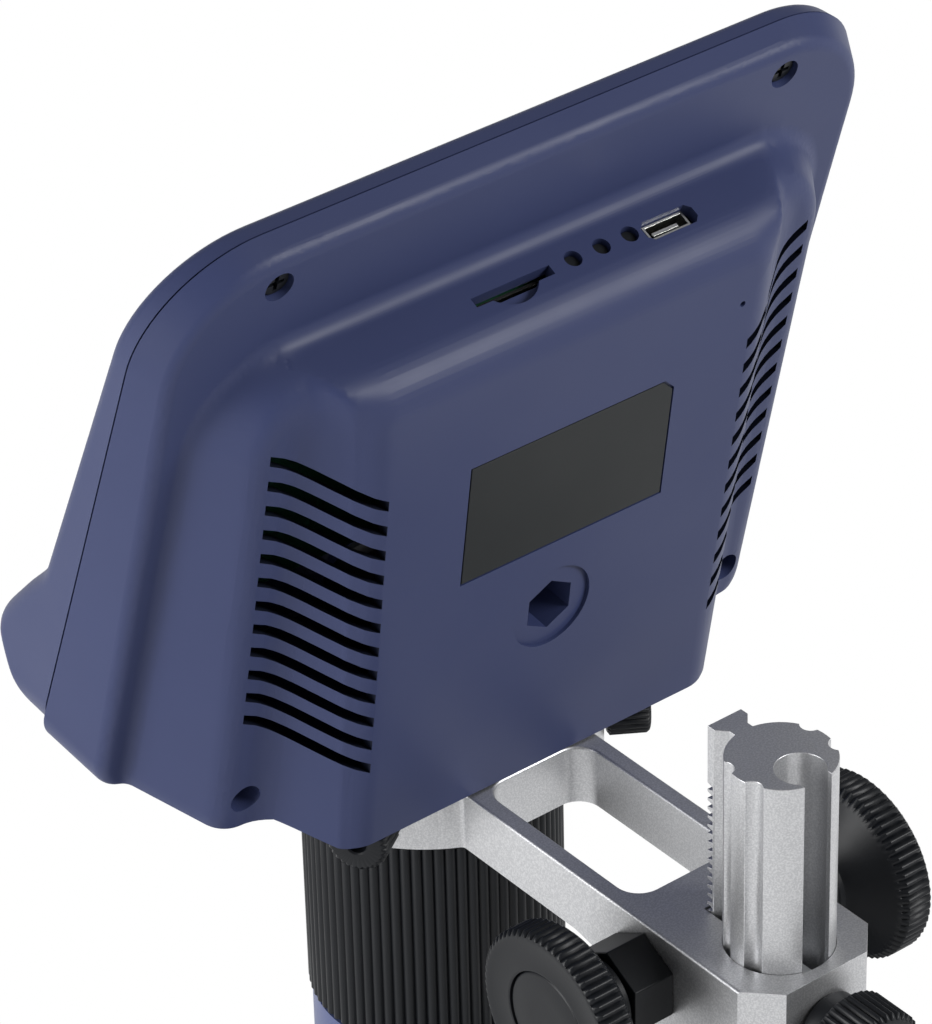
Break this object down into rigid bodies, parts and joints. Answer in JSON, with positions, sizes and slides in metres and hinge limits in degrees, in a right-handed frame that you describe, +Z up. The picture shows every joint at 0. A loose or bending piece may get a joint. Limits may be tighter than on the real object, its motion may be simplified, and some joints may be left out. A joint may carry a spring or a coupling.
{
  "type": "lcd digital microscope",
  "caption": "Digital microscope with a built-in tilted screen, ribbed focus ring and thumb-screw clamp, carried by a rack-and-pinion arm on a column and flat base.",
  "frame": {"origin": "centre of the footprint, on the bench surface under the rubber feet", "axes": "+X to the right of a user facing the screen, +Y from the user towards the column, +Z up"},
  "size_m": [0.1326, 0.2, 0.2696],
  "materials": {
    "base_metal": "fine satin powder coat",
    "foot_rubber": "matt",
    "bare_aluminium": "fine bead blast",
    "plated_steel": "bright plated",
    "black_steel": "black oxide",
    "pad_plastic": "natural white",
    "black_plastic": "satin moulded",
    "black_metal": "black anodised",
    "blue_metal": "satin",
    "lamp_white": "diffuse lens",
    "lens_glass": "coated",
    "board_green": "solder mask",
    "blue_plastic": "satin with fine texture",
    "screen_black": "polished",
    "panel_grey": "panel back",
    "label_black": "satin, left bare",
    "key_plastic": "satin"
  },
  "bodies": {
    "stand": {"base_plate": "base_metal", "rubber_feet": "foot_rubber", "column": "bare_aluminium", "column_bolt": "plated_steel"},
    "carriage": {"arm_block": "bare_aluminium", "brake_pad": "pad_plastic", "shaft_bushes": "black_plastic"},
    "focus_drive": {"pinion_shaft": "plated_steel", "focus_knob_left": "black_plastic", "focus_knob_right": "black_plastic", "knob_cap_left": "black_plastic", "knob_cap_right": "black_plastic"},
    "column_lock": {"lock_screw": "black_plastic"},
    "ring_clamp_left": {"clamp_screw_left": "black_plastic"},
    "ring_clamp_right": {"clamp_screw_right": "black_plastic"},
    "head": {"barrel_body": "black_metal", "lower_barrel": "blue_metal", "led_ring": "lamp_white", "end_window": "lens_glass", "sensor_board": "board_green", "front_bezel": "blue_plastic", "screen_glass": "screen_black", "lcd_panel": "panel_grey", "key_board": "board_green", "rear_housing": "blue_plastic", "label_plate": "label_black", "main_board": "board_green", "usb_port": "plated_steel", "card_socket": "plated_steel", "housing_screws": "black_steel"},
    "lens_ring": {"focus_ring": "black_plastic"},
    "lens_slide": {"lens_cell": "black_metal", "objective_lens": "lens_glass"},
    "key_1_button": {"key_1": "key_plastic"},
    "key_2_button": {"key_2": "key_plastic"},
    "key_3_button": {"key_3": "key_plastic"},
    "key_4_button": {"key_4": "key_plastic"},
    "key_5_button": {"key_5": "key_plastic"},
    "key_6_button": {"key_6": "key_plastic"},
    "plunger_1_pin": {"plunger_1": "black_plastic"},
    "plunger_2_pin": {"plunger_2": "black_plastic"},
    "plunger_3_pin": {"plunger_3": "black_plastic"}
  },
  "joints": [
    {"name": "focus_slide", "type": "slide", "parent": "stand", "child": "carriage", "axis": [0, 0, 1], "range_m": [-0.045, 0.02]},
    {"name": "pinion_turn", "type": "hinge", "parent": "carriage", "child": "focus_drive", "pos_m": [0, 0.0546, 0.1479], "axis": [1, 0, 0], "range_deg": [-330, 740]},
    {"name": "column_lock_turn", "type": "hinge", "parent": "carriage", "child": "column_lock", "pos_m": [0, 0.0845, 0.148], "axis": [0, 1, 0], "range_deg": [0, 360]},
    {"name": "ring_clamp_left_turn", "type": "hinge", "parent": "carriage", "child": "ring_clamp_left", "pos_m": [-0.02298, 0.00242, 0.1517], "axis": [-0.8387, 0.5446, 0], "range_deg": [0, 360]},
    {"name": "ring_clamp_right_turn", "type": "hinge", "parent": "carriage", "child": "ring_clamp_right", "pos_m": [0.02298, 0.00242, 0.1517], "axis": [0.8387, 0.5446, 0], "range_deg": [0, 360]},
    {"name": "head_swivel", "type": "hinge", "parent": "carriage", "child": "head", "pos_m": [0, -0.0125, 0.1517], "axis": [0, 0, 1], "range_deg": [-30, 30]},
    {"name": "lens_ring_turn", "type": "hinge", "parent": "head", "child": "lens_ring", "pos_m": [0, -0.0125, 0.124], "axis": [0, 0, 1], "range_deg": [-160, 160]},
    {"name": "lens_travel", "type": "slide", "parent": "head", "child": "lens_slide", "axis": [0, 0, 1], "range_m": [-0.0042, 0.0042]},
    {"name": "key_1_press", "type": "slide", "parent": "head", "child": "key_1_button", "axis": [0, 0.7169, -0.6972], "range_m": [0, 0.0008], "stiffness_N_per_m": 900, "springref_m": -0.0004},
    {"name": "key_2_press", "type": "slide", "parent": "head", "child": "key_2_button", "axis": [0, 0.7169, -0.6972], "range_m": [0, 0.0008], "stiffness_N_per_m": 900, "springref_m": -0.0004},
    {"name": "key_3_press", "type": "slide", "parent": "head", "child": "key_3_button", "axis": [0, 0.7169, -0.6972], "range_m": [0, 0.0008], "stiffness_N_per_m": 900, "springref_m": -0.0004},
    {"name": "key_4_press", "type": "slide", "parent": "head", "child": "key_4_button", "axis": [0, 0.7169, -0.6972], "range_m": [0, 0.0008], "stiffness_N_per_m": 900, "springref_m": -0.0004},
    {"name": "key_5_press", "type": "slide", "parent": "head", "child": "key_5_button", "axis": [0, 0.7169, -0.6972], "range_m": [0, 0.0008], "stiffness_N_per_m": 900, "springref_m": -0.0004},
    {"name": "key_6_press", "type": "slide", "parent": "head", "child": "key_6_button", "axis": [0, 0.7169, -0.6972], "range_m": [0, 0.0008], "stiffness_N_per_m": 900, "springref_m": -0.0004},
    {"name": "plunger_1_press", "type": "slide", "parent": "head", "child": "plunger_1_pin", "axis": [0, -0.4226, -0.9063], "range_m": [0, 0.0005], "stiffness_N_per_m": 900, "springref_m": -0.0004},
    {"name": "plunger_2_press", "type": "slide", "parent": "head", "child": "plunger_2_pin", "axis": [0, -0.4226, -0.9063], "range_m": [0, 0.0005], "stiffness_N_per_m": 900, "springref_m": -0.0004},
    {"name": "plunger_3_press", "type": "slide", "parent": "head", "child": "plunger_3_pin", "axis": [0, -0.4226, -0.9063], "range_m": [0, 0.0005], "stiffness_N_per_m": 900, "springref_m": -0.0004}
  ],
  "couplings": [
    {"joint": "pinion_turn", "follows": "focus_slide", "rad_per_m": -285.71},
    {"joint": "lens_ring_turn", "follows": "lens_travel", "rad_per_m": 555.56}
  ]
}
